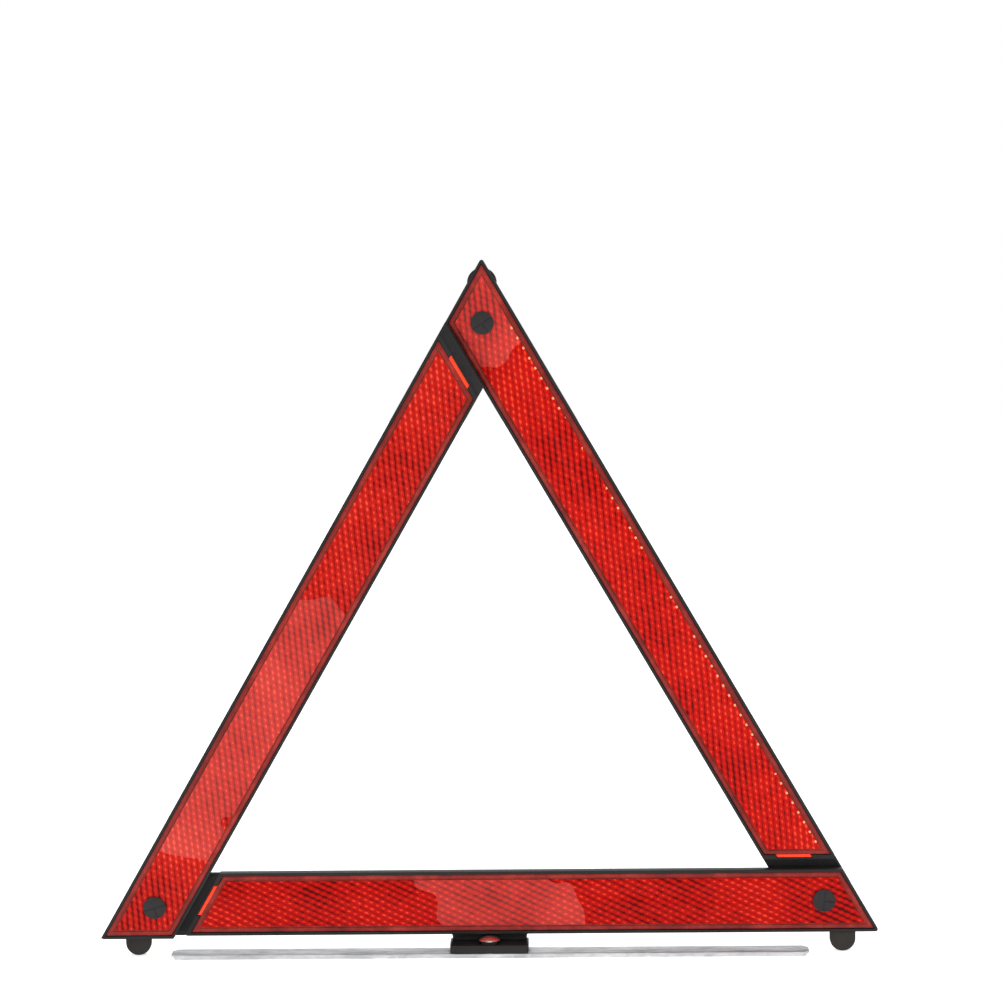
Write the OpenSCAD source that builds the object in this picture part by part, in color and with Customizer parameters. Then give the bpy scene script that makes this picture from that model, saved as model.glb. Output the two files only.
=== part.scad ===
// Folding roadside warning triangle.
// +Z is up, -Y is the front that faces the traffic, and Z = 0 is the road.
// Three arms lie in three layers: left arm in front, base arm in the middle, right arm behind.

/* [Triangle] */
// Length of one side, from tip to tip
side_len = 428; // [300:1:520]
// Width of each arm
band_w = 35; // [30:0.5:44]
// Height of the base arm's lower edge above the road
foot_h = 11; // [9.5:0.5:16]

/* [Arm layers] */
// Depth of the lens surface below the frame's front lip
lens_recess = 0.8; // [0.8:0.1:1.6]
// Thickness of the reflector lens
lens_t = 1.8; // [1.2:0.1:3]
// Thickness of the sealing plate behind the lens
seal_t = 0.8; // [0.6:0.1:2]
// Thickness of the frame's floor
floor_t = 1.0; // [0.8:0.1:2]
// Depth of the ribbed hollow in the frame's back
hollow_d = 1.0; // [0.8:0.1:2]
// Running gap between two arm layers
layer_gap = 0.4; // [0.3:0.05:1]

/* [Arm details] */
// Width of the frame's lip round the lens
lip_w = 1.5; // [1:0.1:2.5]
// Clearance between the lens and its lip
lens_clear = 0.25; // [0.1:0.05:0.4]
// Distance from the frame's edge to the groove round the prism field
groove_in = 3.9; // [3.2:0.1:6]
// Width of that groove
groove_w = 0.8; // [0.4:0.1:1.5]
// Depth of that groove
groove_d = 0.6; // [0.2:0.1:0.9]
// Distance from the crossing arm's edge to the lens end
tail_band = 6.7; // [5:0.1:10]
// Thickness of the wall that closes the lens pocket at the tail
tail_wall = 2.4; // [2:0.1:3]
// Depth of the tongue below the frame's front
tongue_drop = 1.4; // [1:0.1:1.8]
// Thickness of the tongue
tongue_t = 2.0; // [1.6:0.1:2.2]
// Length of the lens tab that shows in the tail wall
tab_len = 19; // [10:1:20]
// Width of the lens tab
tab_w = 1.5; // [1:0.1:1.6]
// How far the left arm's tail covers the right arm's lip, a layer in front of it
tail_lap = 1; // [0.2:0.1:1.4]
// Radius of the frame's corners
corner_r = 1.2; // [0.6:0.1:1.8]
// Number of ribs across the back of each arm
rib_count = 9; // [3:1:13]
// Thickness of one rib
rib_w = 1.6; // [1:0.1:3]

/* [Pins] */
// Radius of a pin's shank
pin_r = 3; // [2.4:0.1:3.6]
// Radius of a pin's slotted head
pin_head_r = 6.2; // [5:0.1:7]
// Thickness of a pin's head
pin_head_t = 0.9; // [0.8:0.05:1]
// Width of the slot in a pin's head
slot_w = 0.9; // [0.6:0.1:1.4]
// Depth of the slot
slot_d = 0.4; // [0.2:0.05:0.6]
// Radial clearance of a turning pin
pin_clear = 0.05; // [0.02:0.01:0.1]
// Outer radius of the clip behind a pin
clip_r = 6; // [5:0.1:7]
// Thickness of that clip
clip_t = 1.3; // [0.8:0.1:1.4]
// Thickness of the keeper behind the top corner
keeper_t = 2.5; // [1.5:0.1:4]
// Radius of the keeper's rounded nose
keeper_nose_r = 8; // [7:0.5:9.5]
// Distance from the tip to the nose's centre
keeper_nose_in = 13.5; // [12.5:0.5:16]

/* [Stand] */
// Width of one foot
foot_w = 14; // [10:1:16]
// Distance from a tip to the middle of its foot
foot_in = 20; // [18:1:22]
// Thickness of a foot
foot_t = 4.2; // [3:0.1:4.6]
// How much shorter the turning leg is than a side of the triangle
leg_short = 78; // [74:1:200]
// Width of the leg
leg_w = 13; // [11:0.5:14]
// Thickness of the leg's sheet metal
leg_t = 1.1; // [0.8:0.1:1.3]
// Full height of the leg with its turned edges
leg_h = 2.4; // [2.2:0.1:2.6]
// Distance from the arm's middle plane forward to the leg's rivet
rivet_y = 5.5; // [5.3:0.1:6]
// Width of the bracket's shelf
shelf_w = 43; // [34:1:60]
// Reach of the shelf in front of the arm's middle plane
shelf_front = 13; // [13:0.5:16]
// Reach of the shelf behind the arm's middle plane
shelf_back = 4; // [3.5:0.5:8]
// Height of the shelf's rim above the road
shelf_top = 7.2; // [6:0.1:8]
// Width of the shelf's rim
rim_w = 1; // [0.8:0.1:1.6]
// Depth of the tray inside the rim
tray_d = 0.5; // [0.3:0.1:1]
// Thickness of the bracket's web, at the back of the arm
web_t = 1.2; // [1:0.1:1.3]
// Radius of the flare between the bracket's web and the arm
flare_r = 2.6; // [1:0.1:2.6]
// Radius of the rivet's head
rivet_head_r = 6.4; // [5:0.1:6.8]
// Height of the rivet's domed head
rivet_dome = 1.9; // [1:0.1:2]
// Height of the boss that the rivet's head stands on
rivet_raise = 2.2; // [0.4:0.1:2.3]
// Radius of the rivet's shank
rivet_r = 2.5; // [2:0.1:3]
// Thickness of the washer on top of the leg
washer_t = 0.4; // [0.3:0.1:0.5]
// Play above and below the leg
leg_play = 0.05; // [0.05:0.01:0.1]

/* [Hidden] */
$fn = 64;
corner = 60;
in_r = side_len / (2 * sqrt(3));
centre_z = foot_h + in_r;
arm_t = lens_recess + lens_t + seal_t + floor_t + hollow_d;
floor_front = lens_recess + lens_t + seal_t;
pin_dist = (band_w / 2) / sin(corner / 2);
pin_x = side_len / 2 - pin_dist * cos(corner / 2);
pin_z = -in_r + band_w / 2;
boss_r = pin_head_r + 2.5;
tongue_back = tongue_drop + tongue_t;
tail_cut = band_w + tail_band - tail_wall;
lens_end = band_w + tail_band;
past = 1;
left_turn = 240;
right_turn = 120;
base_front = -arm_t / 2;
left_front = base_front - layer_gap - arm_t;
right_front = base_front + arm_t + layer_gap;
keeper_gap = 0.1;
keeper_front = arm_t + keeper_gap;
pin_tail = 0.3;
shelf_under = leg_h + leg_play + washer_t + leg_play;
tray_z = shelf_top - tray_d;
leg_flange = leg_t;
leg_len = side_len - leg_short;
head_room = shelf_front - rim_w - rivet_y - keeper_gap;
rivet_top_r = min(rivet_head_r, head_room);
rivet_seat = tray_z + rivet_raise;
seat_r = rivet_r + 2;
boss_gap = 0.2;
pad_gap = 0.5;
tab_middle = 0.56;
ribs_from_tail = 2.3;
ribs_both_ends = 4.2;
clip_notch = 1.2;
clip_wall = 1;
shelf_corner_r = 2.5;
web_in = 1;

// An arm is drawn as the base arm, about the triangle's centre, with its front face at Y = 0.
// Its head is at the right, where it lies over the next arm, and its tail is at the left.
function head_x(z, inset) = side_len / 2 - (z + in_r) / tan(corner) - inset / sin(corner);
function tail_x(z, inset) = -side_len / 2 + (z + in_r) / tan(corner) + inset / sin(corner);
function band(side_in, head_in, tail_in) =
    let (low = -in_r + side_in, high = -in_r + band_w - side_in)
    [[tail_x(low, tail_in), low], [head_x(low, head_in), low],
     [head_x(high, head_in), high], [tail_x(high, tail_in), high]];

function unit(v) = v / norm(v);
function half_angle(a, b) = acos(a * b) / 2;

// A convex outline with every corner rounded to radius r
module rounded(points, r) {
    n = len(points);
    to_last = [for (i = [0:n - 1]) unit(points[(i + n - 1) % n] - points[i])];
    to_next = [for (i = [0:n - 1]) unit(points[(i + 1) % n] - points[i])];
    half = [for (i = [0:n - 1]) half_angle(to_last[i], to_next[i])];
    polygon([for (i = [0:n - 1], side = [0, 1])
        points[i] + (side == 0 ? to_last[i] : to_next[i]) * r / tan(half[i])]);
    for (i = [0:n - 1])
        translate(points[i] + unit(to_last[i] + to_next[i]) * r / sin(half[i])) circle(r);
}

// A flat outline in X and Z, given its thickness from one depth to another
module slab(from, to) {
    translate([0, to, 0]) rotate([90, 0, 0]) linear_extrude(to - from) children();
}

// A round bar along Y at one end of the arm: side is 1 at the head and -1 at the tail
module bar(side, r, from, to) {
    translate([side * pin_x, from, pin_z]) rotate([-90, 0, 0]) cylinder(r = r, h = to - from);
}

module place_arm(turn, front) {
    translate([0, front, centre_z]) rotate([0, -turn, 0]) children();
}

module rear_ribs() {
    first = -side_len / 2 + band_w * ribs_from_tail;
    step = (side_len - band_w * ribs_both_ends) / (rib_count - 1);
    for (i = [0:rib_count - 1])
        translate([first + i * step, arm_t - hollow_d, -in_r + lip_w])
            cube([rib_w, hollow_d, band_w - 2 * lip_w]);
}

module lens_tab_outline(grow) {
    middle = -in_r + band_w * tab_middle;
    half = tab_len / 2 * sin(corner) + grow;
    low = middle - half;
    high = middle + half;
    cut = lens_end - tab_w - grow;
    polygon([[tail_x(low, cut), low], [tail_x(low, lens_end + past), low],
        [tail_x(high, lens_end + past), high], [tail_x(high, cut), high]]);
}

module tongue() {
    slab(tongue_drop, tongue_back) {
        translate([-pin_x, pin_z]) circle(band_w / 2);
        polygon([[-pin_x, -in_r], [tail_x(-in_r, tail_cut + past), -in_r],
            [tail_x(-in_r + band_w, tail_cut + past), -in_r + band_w], [-pin_x, -in_r + band_w]]);
    }
    bar(-1, boss_r, -layer_gap + boss_gap, tongue_back);
}

// The tail that only covers the edge of the arm it hooks to, which lies two layers behind it
module short_tail() {
    slab(tongue_drop, arm_t) polygon(band(0, 0, band_w - tail_lap));
}

module foot_pad() {
    low_x = -side_len / 2 + foot_in;
    slab((arm_t - foot_t) / 2, (arm_t + foot_t) / 2)
        translate([low_x - foot_w / 2, -in_r]) square([foot_w, band_w / 2 - clip_r - pad_gap]);
}

module arm_frame(has_tongue, head_clear, tongue_clear) {
    difference() {
        union() {
            slab(0, arm_t) rounded(band(0, 0, tail_cut), corner_r);
            if (has_tongue) tongue(); else short_tail();
        }
        slab(-past, floor_front) polygon(band(lip_w, lip_w, lens_end));
        slab(-past, lens_recess + lens_t) lens_tab_outline(lens_clear);
        slab(arm_t - hollow_d, arm_t + past) polygon(band(lip_w, lip_w, lens_end));
        bar(1, pin_r + head_clear, -past, arm_t + past);
        if (has_tongue) bar(-1, pin_r + tongue_clear, -past, arm_t + past);
    }
    rear_ribs();
    difference() {
        bar(1, boss_r, floor_front, arm_t);
        bar(1, pin_r + head_clear, -past, arm_t + past);
    }
}

module arm_lens() {
    edge = lip_w + lens_clear;
    inner = groove_in + groove_w;
    end = lens_end + lens_clear;
    front = lens_recess;
    difference() {
        union() {
            slab(front, front + lens_t) polygon(band(edge, edge, end));
            slab(front, front + lens_t - past / 4) lens_tab_outline(0);
        }
        difference() {
            slab(front - past, front + groove_d)
                polygon(band(groove_in, groove_in, end + groove_in - edge));
            slab(front - past, front + groove_d) polygon(band(inner, inner, end + inner - edge));
        }
        bar(1, pin_r + lens_clear, -past, arm_t);
    }
}

module seal_plate() {
    edge = lip_w + lens_clear;
    difference() {
        slab(lens_recess + lens_t, floor_front) polygon(band(edge, edge, lens_end + lens_clear));
        bar(1, pin_r + lens_clear, -past, arm_t);
    }
}

// A pin from its slotted head, which rests on the lens, back to the given depth
// Its slot leans by that angle from level once the arm is turned.
module pin(back, turn, slot_lean) {
    head_front = lens_recess - pin_head_t;
    translate([pin_x, 0, pin_z]) rotate([-90, 0, 0]) {
        difference() {
            translate([0, 0, head_front]) cylinder(r = pin_head_r, h = pin_head_t);
            rotate(turn - slot_lean) {
                translate([-pin_head_r, -slot_w / 2, head_front - past])
                    cube([pin_head_r * 2, slot_w, slot_d + past]);
                translate([-slot_w / 2, 0, head_front - past])
                    cube([slot_w, pin_head_r, slot_d + past]);
            }
        }
        translate([0, 0, lens_recess]) cylinder(r = pin_r, h = back - lens_recess);
    }
}

// A push-on clip with four open notches, behind the depth front
module pin_clip(front) {
    difference() {
        bar(1, clip_r, front, front + clip_t);
        bar(1, pin_r, front - past, front + clip_t + past);
        translate([pin_x, front - past, pin_z])
            for (turn = [0, 90])
                rotate([0, turn, 0]) translate([-clip_notch / 2, 0, -clip_r + clip_wall])
                    cube([clip_notch, clip_t + 2 * past, 2 * (clip_r - clip_wall)]);
    }
}

// Depths of the two lapped joints' clips, counted from the front arm's own face
lap_back = arm_t + layer_gap + tongue_back;
keeper_back = keeper_front + keeper_t;

module left_frame() { color("#2a2929") place_arm(left_turn, left_front) arm_frame(false, pin_clear, 0); }
module left_lens() { color("#cf3424") place_arm(left_turn, left_front) arm_lens(); }
module left_seal_plate() { color("#161616") place_arm(left_turn, left_front) seal_plate(); }
module base_lens() { color("#bc1208") place_arm(0, base_front) arm_lens(); }
module base_seal_plate() { color("#161616") place_arm(0, base_front) seal_plate(); }
module right_lens() { color("#d01a0e") place_arm(right_turn, right_front) arm_lens(); }
module right_seal_plate() { color("#161616") place_arm(right_turn, right_front) seal_plate(); }

module base_frame() {
    color("#2a2929") place_arm(0, base_front) {
        arm_frame(true, 0, 0);
        foot_pad();
    }
}

module right_frame() {
    color("#2a2929") place_arm(right_turn, right_front) arm_frame(true, 0, pin_clear);
}

module left_pin() {
    color("#2d282a") place_arm(left_turn, left_front)
        pin(lap_back + clip_t + pin_tail, left_turn, 17);
}

module right_pin() {
    color("#2d282a") place_arm(0, base_front) pin(lap_back + clip_t + pin_tail, 0, 84);
}

module top_pin() {
    color("#2d282a") place_arm(right_turn, right_front)
        pin(keeper_back + clip_t + pin_tail, right_turn, 33);
}

module left_pin_clip() { color("#8d8f92") place_arm(left_turn, left_front) pin_clip(lap_back); }
module right_pin_clip() { color("#8d8f92") place_arm(0, base_front) pin_clip(lap_back); }
module top_pin_clip() { color("#8d8f92") place_arm(right_turn, right_front) pin_clip(keeper_back); }

// The rounded plate behind the top corner, which the left arm's tail hooks onto
module top_keeper() {
    color("#2a2929") place_arm(right_turn, right_front) difference() {
        slab(keeper_front, keeper_back) translate([side_len / 2, -in_r]) rotate(180 - corner / 2) {
            translate([keeper_nose_in, 0]) circle(keeper_nose_r);
            translate([pin_dist, 0]) circle(boss_r + 3);
            translate([keeper_nose_in, -keeper_nose_r]) square([pin_dist - keeper_nose_in,
                2 * keeper_nose_r]);
        }
        bar(1, pin_r, 0, keeper_back + past);
    }
}

module foot(side) {
    r = foot_w / 2;
    translate([0, 0, foot_h]) slab(-foot_t / 2, foot_t / 2)
        translate([side * (side_len / 2 - foot_in), 0]) {
            intersection() {
                translate([0, r - foot_h]) circle(r);
                translate([-r, -foot_h]) square([foot_w, foot_h]);
            }
            translate([-r, r - foot_h]) square([foot_w, foot_h - r]);
        }
}

module left_foot() { color("#373230") foot(-1); }
module right_foot() { color("#373230") foot(1); }

module web_outline() {
    half = shelf_w / 2 - web_in;
    difference() {
        translate([-half - flare_r, tray_z]) square([2 * (half + flare_r), foot_h - tray_z]);
        for (side = [-1, 1])
            translate([side * (half + flare_r), foot_h - flare_r]) circle(flare_r);
        for (side = [-1, 1])
            translate([side * (half + flare_r / 2), tray_z / 2 + (foot_h - flare_r) / 2])
                square([flare_r, foot_h - flare_r - tray_z], center = true);
    }
}

module stand_shelf() {
    difference() {
        translate([0, 0, shelf_under]) linear_extrude(shelf_top - shelf_under)
            rounded([[-shelf_w / 2, -shelf_front], [shelf_w / 2, -shelf_front],
                [shelf_w / 2, shelf_back], [-shelf_w / 2, shelf_back]], shelf_corner_r);
        translate([-shelf_w / 2 + rim_w, -shelf_front + rim_w, tray_z])
            cube([shelf_w - 2 * rim_w, shelf_front - rim_w + arm_t / 2 - web_t, tray_d + past]);
    }
}

module stand_bracket() {
    color("#2a2929") difference() {
        union() {
            stand_shelf();
            slab(arm_t / 2 - web_t, arm_t / 2) web_outline();
            translate([0, -rivet_y, shelf_under]) cylinder(r = seat_r, h = rivet_seat - shelf_under);
        }
        translate([0, -rivet_y, 0]) cylinder(r = rivet_r, h = foot_h);
    }
}

// A shallow channel of sheet metal with its two long edges turned down to the road
module stand_leg() {
    end_cut = 3;
    half = leg_len / 2;
    color("#b9bcc0") translate([0, -rivet_y, 0]) difference() {
        linear_extrude(leg_h)
            polygon([[-half, -leg_w / 2 + end_cut], [-half + end_cut, -leg_w / 2],
                [half - end_cut, -leg_w / 2], [half, -leg_w / 2 + end_cut],
                [half, leg_w / 2 - end_cut], [half - end_cut, leg_w / 2],
                [-half + end_cut, leg_w / 2], [-half, leg_w / 2 - end_cut]]);
        translate([-half - past, -leg_w / 2 + leg_flange, -past])
            cube([leg_len + 2 * past, leg_w - 2 * leg_flange, leg_h - leg_t + past]);
        cylinder(r = rivet_r + pin_clear, h = leg_h + past);
    }
}

module leg_rivet() {
    ball_r = (rivet_top_r * rivet_top_r + rivet_dome * rivet_dome) / (2 * rivet_dome);
    foot_top = leg_h - leg_t - leg_play;
    foot_low = 0.3;
    foot_spread = 2.2;
    color("#d9d2cc") translate([0, -rivet_y, 0]) {
        intersection() {
            translate([0, 0, rivet_seat + rivet_dome - ball_r]) sphere(r = ball_r);
            translate([0, 0, rivet_seat]) cylinder(r = rivet_top_r, h = rivet_dome + past);
        }
        translate([0, 0, foot_low]) cylinder(r = rivet_r, h = rivet_seat - foot_low);
        translate([0, 0, foot_low]) cylinder(r = rivet_r + foot_spread, h = foot_top - foot_low);
    }
}

module leg_washer() {
    washer_w = 4;
    color("#a6a8ab") translate([0, -rivet_y, leg_h + leg_play]) difference() {
        cylinder(r = rivet_r + washer_w, h = washer_t);
        translate([0, 0, -past]) cylinder(r = rivet_r + pin_clear, h = washer_t + 2 * past);
    }
}

left_frame();
left_lens();
left_seal_plate();
base_frame();
base_lens();
base_seal_plate();
right_frame();
right_lens();
right_seal_plate();
left_pin();
right_pin();
top_pin();
left_pin_clip();
right_pin_clip();
top_pin_clip();
top_keeper();
left_foot();
right_foot();
stand_bracket();
stand_leg();
leg_rivet();
leg_washer();
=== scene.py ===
"""A folding warning triangle: red prism reflectors in black moulded frames, on a turning steel leg."""
import math

import bpy
from mathutils import Matrix, Vector


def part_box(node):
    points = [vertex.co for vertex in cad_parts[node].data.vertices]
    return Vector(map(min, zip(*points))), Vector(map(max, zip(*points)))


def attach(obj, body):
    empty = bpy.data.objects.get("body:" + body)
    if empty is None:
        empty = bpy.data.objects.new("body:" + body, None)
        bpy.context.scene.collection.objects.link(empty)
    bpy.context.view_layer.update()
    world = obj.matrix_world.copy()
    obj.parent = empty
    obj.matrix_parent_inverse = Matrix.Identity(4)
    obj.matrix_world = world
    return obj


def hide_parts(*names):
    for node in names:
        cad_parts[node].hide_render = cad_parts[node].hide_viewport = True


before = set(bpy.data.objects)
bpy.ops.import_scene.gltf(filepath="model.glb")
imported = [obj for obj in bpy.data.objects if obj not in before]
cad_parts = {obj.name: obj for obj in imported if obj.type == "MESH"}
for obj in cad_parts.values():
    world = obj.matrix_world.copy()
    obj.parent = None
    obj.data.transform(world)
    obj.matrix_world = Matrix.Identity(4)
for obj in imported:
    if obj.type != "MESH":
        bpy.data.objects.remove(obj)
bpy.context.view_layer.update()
MM = 0.001

# Each arm's turn from the base arm about the triangle's centre, and its body
ARMS = {
    "base": (0, "base"),
    "left": (240, "left_arm"),
    "right": (120, "right_arm"),
}
# The frame's lip with its clearance round a lens, the bare band beside a crossing arm, the ends' slant
LIP = 1.75 * MM
TAIL_BAND = 6.7 * MM
CORNER = math.radians(60)

BASE_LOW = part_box("base_lens")[0][2] - LIP
BAND_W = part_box("base_lens")[1][2] - BASE_LOW + LIP
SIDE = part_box("left_frame")[0][0] * -2
INNER = SIDE / (2 * math.sqrt(3))
CENTRE = Vector((0, 0, BASE_LOW + INNER))

# Distance from an arm's edge to its prism field, and from there to the row of caught light
FIELD_IN = 4.6 * MM
DOT_IN = 0.7 * MM


# ---------------------------------------------------------------- small helpers

# The kinds of node that the materials are made of
PLACE, MAPPING, AXES = "ShaderNodeTexCoord", "ShaderNodeMapping", "ShaderNodeSeparateXYZ"
MATH, RANGE, RAMP = "ShaderNodeMath", "ShaderNodeMapRange", "ShaderNodeValToRGB"
NOISE, CELLS, CHANNELS = "ShaderNodeTexNoise", "ShaderNodeTexVoronoi", "ShaderNodeSeparateColor"
MIX, BUMP = "ShaderNodeMix", "ShaderNodeBump"


def linear(hex_colour):
    """An sRGB hex colour as a linear one with full alpha."""
    out = []
    for start in (1, 3, 5):
        value = int(hex_colour[start:start + 2], 16) / 255
        out.append(value / 12.92 if value <= 0.04045 else ((value + 0.055) / 1.055) ** 2.4)
    return (*out, 1.0)


def across_mm(size):
    """The texture scale that makes a feature about that many millimetres across."""
    return 1 / (size * MM)


def new_material(name):
    """A material with a Principled shader, and its tree and shader."""
    material = bpy.data.materials.new(name)
    material.use_nodes = True
    return material, material.node_tree, material.node_tree.nodes["Principled BSDF"]


def fill(node, inputs):
    """Sets a node's inputs to numbers or hex colours, or links them from sockets or a node's first output."""
    for key, value in inputs.items():
        if isinstance(value, bpy.types.Node):
            value = value.outputs[0]
        if isinstance(value, bpy.types.NodeSocket):
            node.id_data.links.new(value, node.inputs[key])
        else:
            node.inputs[key].default_value = linear(value) if isinstance(value, str) else value


def add(tree, kind, inputs, stops=(), **settings):
    """A node with its settings and inputs and, on a ramp, its stops of (position, hex colour)."""
    made = tree.nodes.new(kind)
    for key, value in settings.items():
        setattr(made, key, value)
    fill(made, inputs)
    if stops:
        bar = made.color_ramp.elements
        while len(bar) < len(stops):
            bar.new(0.5)
        for element, (position, colour) in zip(bar, stops):
            element.position = position
            element.color = linear(colour)
    return made


def on_arm(tree, turn):
    """Object coordinates turned so that X runs along the arm and Z across it, from the triangle's centre."""
    place = add(tree, PLACE, {}).outputs["Object"]
    moved = add(tree, MAPPING, {"Vector": place, "Location": tuple(-CENTRE)}, vector_type="POINT")
    return add(tree, MAPPING, {"Vector": moved, "Rotation": (0, math.radians(turn), 0)}, vector_type="POINT")


# ---------------------------------------------------------------- materials

def moulded_abs(name, dark, light, rough, grain_mm=0.9):
    """Injection-moulded ABS: a satin skin with fine spark texture, slight flow marks and greyer spots."""
    material, tree, shader = new_material(name)
    place = add(tree, PLACE, {}).outputs["Object"]
    flow = add(tree, NOISE, {"Vector": place, "Scale": across_mm(26), "Detail": 4, "Roughness": 0.55})
    dust = add(tree, NOISE, {"Vector": place, "Scale": across_mm(2.2), "Detail": 5, "Roughness": 0.7})
    texture = add(tree, NOISE, {"Vector": place, "Scale": across_mm(grain_mm), "Detail": 2,
                                "Roughness": 0.55})
    patch = add(tree, MATH, {0: dust, 1: 0.4}, operation="MULTIPLY")
    patch = add(tree, MATH, {0: flow, 1: 0.6, 2: patch}, operation="MULTIPLY_ADD")
    fill(shader, {
        "Base Color": add(tree, RAMP, {"Fac": patch}, [(0.32, dark), (0.72, light)]),
        "Roughness": add(tree, RANGE, {"Value": dust, "From Min": 0.3, "From Max": 0.75,
                                       "To Min": rough - 0.06, "To Max": rough + 0.12}),
        "IOR": 1.53,
        "Specular IOR Level": 0.22,
        "Normal": add(tree, BUMP, {"Height": texture, "Distance": 0.05 * MM, "Strength": 0.5}),
    })
    return material


def smooth_acrylic(name, turn):
    """Moulded clear red acrylic where it is welded to the black frame: dark, deep and glossy.

    Its cut end, in the tab at the arm's tail, has a painted glow: bright orange colour and emission standing
    in for the light that entered the lens.
    """
    material, tree, shader = new_material(name)
    axes = add(tree, AXES, {"Vector": on_arm(tree, turn)})
    rise = add(tree, MATH, {0: axes.outputs["Z"], 1: INNER}, operation="ADD")
    slant = add(tree, MATH, {0: rise, 1: -1 / math.tan(CORNER)}, operation="MULTIPLY")
    from_tip = add(tree, MATH, {0: axes.outputs["X"], 1: SIDE / 2}, operation="ADD")
    from_tip = add(tree, MATH, {0: from_tip, 1: slant}, operation="ADD")
    inset = add(tree, MATH, {0: from_tip, 1: math.sin(CORNER)}, operation="MULTIPLY")
    # Painted glow mask: 1 on the tab at the arm's tail, where orange colour and emission are painted in
    painted_glow = add(tree, MATH, {0: inset, 1: BAND_W + TAIL_BAND + 0.1 * MM}, operation="LESS_THAN")

    place = add(tree, PLACE, {}).outputs["Object"]
    cloud = add(tree, NOISE, {"Vector": place, "Scale": across_mm(18), "Detail": 3, "Roughness": 0.55})
    fine = add(tree, NOISE, {"Vector": place, "Scale": across_mm(3), "Detail": 4, "Roughness": 0.65})
    tone = add(tree, MATH, {0: fine, 1: 0.35}, operation="MULTIPLY")
    tone = add(tree, MATH, {0: cloud, 1: 0.65, 2: tone}, operation="MULTIPLY_ADD")
    depth = add(tree, RAMP, {"Fac": tone}, [(0.3, "#5A100B"), (0.52, "#861F17"), (0.74, "#AE372B")])
    fill(shader, {
        "Base Color": add(tree, MIX, {0: painted_glow, 6: depth, 7: "#FF3A18"}, data_type="RGBA").outputs[2],
        "Emission Color": add(tree, MIX, {0: painted_glow, 6: "#000000", 7: "#FF3A18"}, data_type="RGBA").outputs[2],
        "Emission Strength": 0.55,
        "Roughness": 0.16,
        "IOR": 1.49,
        "Specular IOR Level": 0.15,
        "Coat Weight": 0.12,
        "Coat Roughness": 0.06,
        "Normal": add(tree, BUMP, {"Height": cloud, "Distance": 0.12 * MM, "Strength": 0.4}),
    })
    return material


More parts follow.
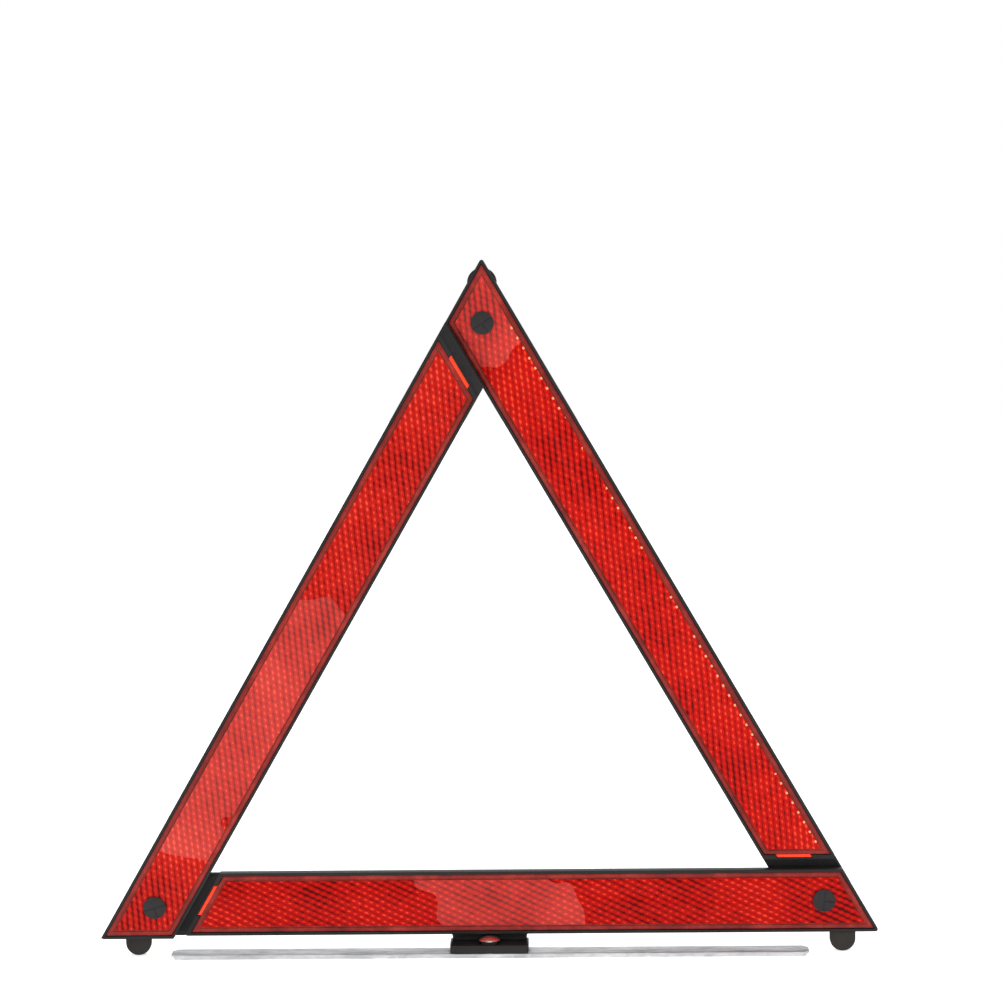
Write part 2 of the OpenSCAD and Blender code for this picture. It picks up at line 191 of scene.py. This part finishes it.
def prism_acrylic(name, turn, lean, deep, body, spark, sheen, dotted=False):
    """Moulded acrylic over staggered rows of three-sided prisms, about 3 mm apart.

    The angle lean is that of the line across the rows, from the arm. The prisms' red is their own colour;
    each prism has a painted highlight in its middle and painted shade at its edges.
    The sheen is a broad pale reflection: its middle and half its length, in arm lengths.
    """
    material, tree, shader = new_material(name)
    local = on_arm(tree, turn)
    axes = add(tree, AXES, {"Vector": local})
    along, across = axes.outputs["X"], axes.outputs["Z"]
    pitch, dash, dot_step = 3.2 * MM, 3.7 * MM, 6.3 * MM
    waver = add(tree, NOISE, {"Vector": local, "Scale": across_mm(34), "Detail": 2, "Roughness": 0.55})
    waver = add(tree, MATH, {0: waver, 1: 0.5}, operation="SUBTRACT")
    waver = add(tree, MATH, {0: waver, 1: 0.9}, operation="MULTIPLY")

    # Each row of prisms runs down its slope, and every second one is half a prism further on
    slope = math.radians(lean)
    by_along = add(tree, MATH, {0: along, 1: math.cos(slope) / pitch}, operation="MULTIPLY")
    by_across = add(tree, MATH, {0: across, 1: math.sin(slope) / pitch}, operation="MULTIPLY")
    over = add(tree, MATH, {0: by_along, 1: by_across}, operation="ADD")
    over = add(tree, MATH, {0: waver, 1: 0.6, 2: over}, operation="MULTIPLY_ADD")
    row = add(tree, MATH, {0: over}, operation="FLOOR")
    over = add(tree, MATH, {0: over}, operation="FRACT")
    by_across = add(tree, MATH, {0: across, 1: math.cos(slope) / dash}, operation="MULTIPLY")
    by_along = add(tree, MATH, {0: along, 1: math.sin(slope) / dash}, operation="MULTIPLY")
    down = add(tree, MATH, {0: by_across, 1: by_along}, operation="SUBTRACT")
    half_on = add(tree, MATH, {0: row, 1: 0.5}, operation="MULTIPLY")
    down = add(tree, MATH, {0: down, 1: half_on}, operation="ADD")
    down = add(tree, MATH, {0: over, 1: 0.35, 2: down}, operation="MULTIPLY_ADD")
    down = add(tree, MATH, {0: down}, operation="FRACT")

    # Painted highlights: a bright middle to each prism, with specks where single prisms catch more light
    ridge = add(tree, MATH, {0: over, 1: 2}, operation="MULTIPLY")
    ridge = add(tree, MATH, {0: ridge, 1: 1}, operation="PINGPONG")
    ridge = add(tree, MATH, {0: ridge, 1: 0.8, 2: 0.2}, operation="MULTIPLY_ADD")
    facet = add(tree, MATH, {0: down, 1: 2}, operation="MULTIPLY")
    facet = add(tree, MATH, {0: facet, 1: 1}, operation="PINGPONG")
    facet = add(tree, MATH, {0: facet, 1: 0.42, 2: 0.58}, operation="MULTIPLY_ADD")
    cell = add(tree, CELLS, {"Vector": local, "Scale": across_mm(2.6), "Randomness": 0.35}, feature="F1")
    speck = add(tree, CHANNELS, {"Color": cell.outputs["Color"]})
    weave = add(tree, MATH, {0: ridge, 1: facet}, operation="MULTIPLY")
    weave = add(tree, MATH, {0: weave, 1: 0.92}, operation="MULTIPLY")
    glint = add(tree, MATH, {0: speck, 1: 0.16, 2: weave}, operation="MULTIPLY_ADD")
    zone = add(tree, NOISE, {"Vector": local, "Scale": across_mm(42), "Detail": 3, "Roughness": 0.55})
    shown = add(tree, MATH, {0: zone, 1: 0.5}, operation="SUBTRACT")
    shown = add(tree, MATH, {0: shown, 1: 0.75, 2: glint}, operation="MULTIPLY_ADD")
    # Painted light on the prisms: deep painted shade, the body's own red and bright painted sparks, shifted
    # by the zone noise in broad patches
    base = add(tree, RAMP, {"Fac": shown}, [(0.14, deep), (0.44, body), (0.7, body), (1.0, spark)])

    # A painted broad reflection with a crisp, wavy edge, where the lens skin bows a little
    middle, half = sheen
    edge = add(tree, NOISE, {"Vector": local, "Scale": across_mm(34), "Detail": 1.2, "Roughness": 0.5})
    edge = add(tree, MATH, {0: edge, 1: 0.5}, operation="SUBTRACT")
    edge = add(tree, MATH, {0: edge, 1: 0.07}, operation="MULTIPLY")
    from_middle = add(tree, MATH, {0: across, 1: INNER - BAND_W / 2}, operation="ADD")
    leaning = add(tree, MATH, {0: from_middle, 1: 0.45, 2: edge}, operation="MULTIPLY_ADD")
    leaning = add(tree, MATH, {0: along, 1: leaning}, operation="ADD")
    offset = add(tree, MATH, {0: leaning, 1: middle * SIDE}, operation="SUBTRACT")
    offset = add(tree, MATH, {0: offset}, operation="ABSOLUTE")
    painted_reflection = add(tree, MATH, {0: offset, 1: half * SIDE}, operation="LESS_THAN")
    paleness = add(tree, MATH, {0: zone, 1: 0.12, 2: 0.03}, operation="MULTIPLY_ADD")
    painted_reflection = add(tree, MATH, {0: painted_reflection, 1: paleness}, operation="MULTIPLY")

    # Painted highlights: points of light caught in the prisms cut short by the outer edge
    if dotted:
        on_edge = add(tree, MATH, {0: across, 1: -INNER + FIELD_IN + DOT_IN, 2: 0.55 * MM},
                      operation="COMPARE")
        steps = add(tree, MATH, {0: along, 1: 1 / dot_step}, operation="MULTIPLY")
        steps = add(tree, MATH, {0: steps}, operation="FRACT")
        on_step = add(tree, MATH, {0: steps, 1: 0.5, 2: 0.1}, operation="COMPARE")
        caught = add(tree, MATH, {0: zone, 1: 0.47}, operation="GREATER_THAN")
        dots = add(tree, MATH, {0: on_edge, 1: on_step}, operation="MULTIPLY")
        dots = add(tree, MATH, {0: dots, 1: caught}, operation="MULTIPLY")
        base = add(tree, MIX, {0: dots, 6: base, 7: "#FFA070"}, data_type="RGBA").outputs[2]
    # Painted reflection: pale pink mixed over the prisms where the broad reflection lies
    coloured = add(tree, MIX, {0: painted_reflection, 6: base, 7: "#FF9A90"}, data_type="RGBA").outputs[2]
    fill(shader, {
        "Base Color": coloured,
        # Painted glow: the prism field gives off a faint light of its own colours, though it is no lamp
        "Emission Color": coloured,
        "Emission Strength": 0.1,
        "Roughness": 0.3,
        "IOR": 1.49,
        "Specular IOR Level": 0.04,
        "Coat Weight": 0.06,
        "Coat Roughness": 0.08,
        "Normal": add(tree, BUMP, {"Height": glint, "Distance": 0.35 * MM, "Strength": 0.55}),
    })
    return material


def plated_metal(name, dark, light, rough, grain_mm, stretch=(1, 1, 1)):
    """Plated steel: bright metal with a faint crystal spangle or rolling grain and dull handling marks."""
    material, tree, shader = new_material(name)
    place = add(tree, MAPPING, {"Vector": add(tree, PLACE, {}).outputs["Object"], "Scale": stretch})
    spangle = add(tree, CELLS, {"Vector": place, "Scale": across_mm(grain_mm), "Randomness": 1}, feature="F1")
    crystal = add(tree, CHANNELS, {"Color": spangle.outputs["Color"]}).outputs[1]
    smear = add(tree, NOISE, {"Vector": place, "Scale": across_mm(grain_mm * 5), "Detail": 4,
                              "Roughness": 0.6})
    tone = add(tree, MATH, {0: smear, 1: 0.8}, operation="MULTIPLY")
    tone = add(tree, MATH, {0: crystal, 1: 0.14, 2: tone}, operation="MULTIPLY_ADD")
    fill(shader, {
        "Base Color": add(tree, RAMP, {"Fac": tone}, [(0.25, dark), (0.75, light)]),
        "Metallic": 1,
        "Roughness": add(tree, RANGE, {"Value": tone, "From Min": 0.2, "From Max": 0.8,
                                       "To Min": rough + 0.1, "To Max": rough - 0.06}),
        "Normal": add(tree, BUMP, {"Height": smear, "Distance": 0.05 * MM, "Strength": 0.4}),
    })
    return material


BLACK = moulded_abs("Black ABS frame, satin", "#0F0E0E", "#232020", 0.42)
SEAL = moulded_abs("Black ABS sealing plate", "#0E0E0E", "#1B1B1B", 0.55)
PIN = moulded_abs("Black nylon pin, satin", "#121113", "#2A2628", 0.38, 0.6)
FOOT = moulded_abs("Black ABS foot, matte", "#1D1A18", "#332F2C", 0.58, 0.7)
BORDER = {arm: smooth_acrylic(f"Red acrylic border, {arm} arm", turn) for arm, (turn, _) in ARMS.items()}
ZINC = plated_metal("Galvanised sheet steel", "#A2A5A7", "#E2E3E4", 0.46, 1.4, (0.3, 1, 1))
CLIP = plated_metal("Zinc-plated spring steel", "#84868A", "#B9BBBE", 0.32, 1.0)
NICKEL = plated_metal("Bright nickel rivet", "#C9C2BC", "#F2EDE8", 0.14, 0.8)
PRISM = {
    "base": prism_acrylic("Red prism acrylic, base arm", 0, 65, "#4A0101", "#A80A04", "#E23A24",
                          (0.02, 0.09)),
    "left": prism_acrylic("Red prism acrylic, left arm", 240, 125, "#5A0303", "#AF1810", "#EA4A34",
                          (0.155, 0.17)),
    "right": prism_acrylic("Red prism acrylic, right arm", 120, 65, "#500202", "#B20E07", "#E84428",
                           (0.45, 0.085), dotted=True),
}


# ---------------------------------------------------------------- pieces

def only(piece):
    """Deselects everything, then selects this piece alone and makes it active."""
    bpy.ops.object.select_all(action="DESELECT")
    piece.select_set(True)
    bpy.context.view_layer.objects.active = piece


def refined(node, name, materials, edge_mm, body, steps=2):
    """A finished copy of a CAD node: joined up, with its sharp edges rounded as a mould leaves them."""
    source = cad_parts[node]
    piece = bpy.data.objects.new(name, source.data.copy())
    bpy.context.scene.collection.objects.link(piece)
    piece.data.materials.clear()
    for material in materials:
        piece.data.materials.append(material)
    only(piece)
    bpy.ops.object.mode_set(mode="EDIT")
    bpy.ops.mesh.select_all(action="SELECT")
    bpy.ops.mesh.remove_doubles(threshold=0.002 * MM)
    bpy.ops.mesh.dissolve_limited(angle_limit=math.radians(0.6))
    bpy.ops.object.mode_set(mode="OBJECT")
    rounding = piece.modifiers.new("edges", "BEVEL")
    rounding.width = edge_mm * MM
    rounding.segments = steps
    rounding.limit_method = "ANGLE"
    rounding.angle_limit = math.radians(35)
    rounding.use_clamp_overlap = True
    bpy.ops.object.modifier_apply(modifier="edges")
    bpy.ops.object.shade_smooth_by_angle(angle=math.radians(32))
    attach(piece, body)
    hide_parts(node)
    return piece


def across_arm(point, turn):
    """How far a point lies across an arm, from the triangle's centre."""
    return (Matrix.Rotation(math.radians(turn), 4, "Y") @ (point - CENTRE)).z


def paint_lens(piece, turn):
    """Gives the lens's front field its prisms."""
    low = -INNER + FIELD_IN
    high = -INNER + BAND_W - FIELD_IN
    for face in piece.data.polygons:
        corners = [across_arm(piece.data.vertices[i].co, turn) for i in face.vertices]
        if face.normal.y < -0.5 and low < min(corners) and max(corners) < high:
            face.material_index = 1


for arm, (turn, body) in ARMS.items():
    refined(f"{arm}_frame", f"{arm}_frame_moulding", [BLACK], 0.3, body)
    lens = refined(f"{arm}_lens", f"{arm}_reflector", [BORDER[arm], PRISM[arm]], 0.22, body)
    paint_lens(lens, turn)
    refined(f"{arm}_seal_plate", f"{arm}_seal", [SEAL], 0.12, body, 1)

PIN_BODIES = {"left": "base", "right": "base", "top": "right_arm"}
for corner, body in PIN_BODIES.items():
    refined(f"{corner}_pin", f"{corner}_pin_moulding", [PIN], 0.12, body)
    refined(f"{corner}_pin_clip", f"{corner}_clip_pressing", [CLIP], 0.1, body, 1)

refined("top_keeper", "top_keeper_moulding", [BLACK], 0.4, "right_arm")
refined("left_foot", "left_foot_moulding", [FOOT], 0.6, "base", 3)
refined("right_foot", "right_foot_moulding", [FOOT], 0.6, "base", 3)
refined("stand_bracket", "stand_bracket_moulding", [BLACK], 0.35, "base")
refined("stand_leg", "leg_pressing", [ZINC], 0.25, "leg")
refined("leg_rivet", "rivet_nickelled", [NICKEL], 0.1, "base")
refined("leg_washer", "washer_plated", [CLIP], 0.08, "base", 1)


# ---------------------------------------------------------------- floor, light and camera

def studio():
    """A pale floor, three soft boxes and an even white sky."""
    bpy.ops.object.select_all(action="DESELECT")
    bpy.ops.mesh.primitive_plane_add(size=1, location=(0, 0, 0))
    floor = bpy.context.active_object
    floor.name = "studio_floor"
    floor.scale = (7, 7, 1)
    material, tree, shader = new_material("Pale studio paper")
    cloud = add(tree, NOISE, {"Vector": add(tree, PLACE, {}).outputs["Object"], "Scale": across_mm(400),
                              "Detail": 2, "Roughness": 0.55})
    tone = add(tree, RAMP, {"Fac": cloud}, [(0.3, "#F6F6F6"), (0.7, "#FCFCFC")])
    fill(shader, {
        "Base Color": tone,
        "Roughness": 0.9,
        "Emission Color": "#FFFFFF",
        "Emission Strength": 0.5,
    })
    floor.data.materials.append(material)

    world = bpy.data.worlds.new("Even white sky")
    bpy.context.scene.world = world
    world.use_nodes = True
    fill(world.node_tree.nodes["Background"], {"Color": "#FFFFFF", "Strength": 1})

    aimed_at = Vector((0, 0, 0.17))
    boxes = (
        ("key_box", (-1.1, -1.5, 1.5), 1.2, 6),
        ("fill_box", (1.5, -1.2, 0.9), 1.0, 3),
        ("top_box", (0.1, 0.2, 1.9), 1.4, 5),
    )
    for name, place, size, power in boxes:
        data = bpy.data.lights.new(name, "AREA")
        data.size = size
        data.energy = power
        light = bpy.data.objects.new(name, data)
        bpy.context.scene.collection.objects.link(light)
        light.location = place
        light.rotation_euler = (aimed_at - light.location).to_track_quat("-Z", "Y").to_euler()


def camera():
    """The camera: nearly square on, a little above the middle and looking slightly down."""
    data = bpy.data.cameras.new("camera")
    data.sensor_width = 36
    data.lens = 96.67
    seen = bpy.data.objects.new("camera", data)
    bpy.context.scene.collection.objects.link(seen)
    stand = Vector((0.0389, -1.4465, 0.4152))
    pan, tilt, roll = 0.0206, -0.1134, -0.0121
    forward = Vector((-math.sin(pan), math.cos(pan), 0))
    up = Vector((0, 0, 1))
    right = Vector((math.cos(pan), math.sin(pan), 0))
    look = forward * math.cos(tilt) + up * math.sin(tilt)
    top = up * math.cos(tilt) - forward * math.sin(tilt)
    turned_right = right * math.cos(roll) + top * math.sin(roll)
    turned_top = top * math.cos(roll) - right * math.sin(roll)
    axes = Matrix((turned_right, turned_top, -look)).transposed()
    seen.matrix_world = Matrix.Translation(stand) @ axes.to_4x4()
    bpy.context.scene.camera = seen


studio()
camera()
bpy.context.scene.view_settings.view_transform = "Standard"
